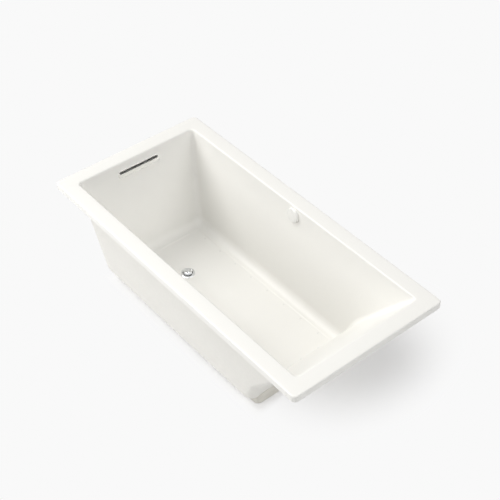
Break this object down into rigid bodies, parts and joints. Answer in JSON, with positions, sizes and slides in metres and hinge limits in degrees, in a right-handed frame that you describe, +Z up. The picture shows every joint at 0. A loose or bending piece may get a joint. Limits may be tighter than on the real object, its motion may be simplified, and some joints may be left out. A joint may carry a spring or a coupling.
{
  "type": "air bathtub",
  "caption": "Drop-in rectangular acrylic bathtub with a sloped backrest, slotted overflow, pop-up drain, floor air jets, round air control and a blower with its hose.",
  "frame": {"origin": "centre of the overall outline, at the floor that the pads stand on", "axes": "+X from the drain end to the backrest end, +Y from the open front side to the side with the air control, +Z up"},
  "size_m": [1.6764, 0.8128, 0.541],
  "materials": {
    "acrylic": "high gloss, warm white",
    "fibreglass": "sprayed, rough",
    "board": "resin-coated particle board",
    "rail": "sawn, resin-bonded",
    "pad": "dense, moulded",
    "chrome": "polished",
    "brass": "as turned",
    "steel": "brushed",
    "zinc_sheet": "zinc-plated sheet",
    "rubber": "matte",
    "pvc": "white, satin",
    "abs_black": "satin",
    "control_white": "gloss",
    "hose": "smooth, satin",
    "tube": "milky, satin",
    "motor_paint": "satin black"
  },
  "bodies": {
    "tub": {"acrylic_shell": "acrylic", "fibreglass_backing": "fibreglass", "base_board": "board", "levelling_pads": "pad", "rim_rail_front": "rail", "rim_rail_back": "rail", "rim_rail_drain_end": "rail", "rim_rail_head_end": "rail", "drain_flange": "chrome", "drain_gasket": "rubber", "drain_locknut": "brass", "stopper_post": "brass", "overflow_trim": "chrome", "overflow_gasket": "rubber", "overflow_body": "pvc", "overflow_slip_nut": "pvc", "overflow_pipe": "pvc", "pipe_clip": "pvc", "control_bezel": "control_white", "control_gasket": "rubber", "control_locknut": "abs_black", "control_air_chamber": "abs_black", "control_air_tube": "tube", "tube_clips": "pvc", "air_channel": "pvc", "air_jets": "control_white", "air_inlet_box": "pvc", "air_hose_loop": "hose", "air_hose_riser": "hose", "hose_clamps": "steel", "hose_strap": "pvc", "check_valve_body": "pvc", "check_valve_cap": "pvc", "flap_pin": "steel", "blower_tray": "zinc_sheet", "blower_feet": "rubber", "blower_housing": "abs_black", "blower_inlet_cover": "abs_black", "blower_screws": "steel", "blower_motor": "motor_paint", "motor_end_cap": "motor_paint", "blower_switch_box": "abs_black", "cable_gland": "abs_black"},
    "stopper": {"stopper_cap": "chrome", "stopper_seal": "rubber"},
    "air_button": {"button_cap": "control_white"},
    "impeller": {"blower_impeller": "abs_black", "blower_shaft": "steel", "impeller_nut": "steel"},
    "check_flap": {"check_valve_flap": "rubber"}
  },
  "joints": [
    {"name": "stopper_slide", "type": "slide", "parent": "tub", "child": "stopper", "axis": [0, 0, 1], "range_m": [-0.008, 0]},
    {"name": "button_press", "type": "slide", "parent": "tub", "child": "air_button", "axis": [0, 0.9952, -0.0976], "range_m": [0, 0.003], "stiffness_N_per_m": 600, "springref_m": -0.002},
    {"name": "impeller_spin", "type": "hinge", "parent": "tub", "child": "impeller", "pos_m": [-0.7532, 0.1524, 0.07], "axis": [0, 1, 0], "continuous": true},
    {"name": "flap_swing", "type": "hinge", "parent": "tub", "child": "check_flap", "pos_m": [-0.7847, 0.17887, 0.2255], "axis": [-1, 0, 0], "range_deg": [0, 45]}
  ]
}
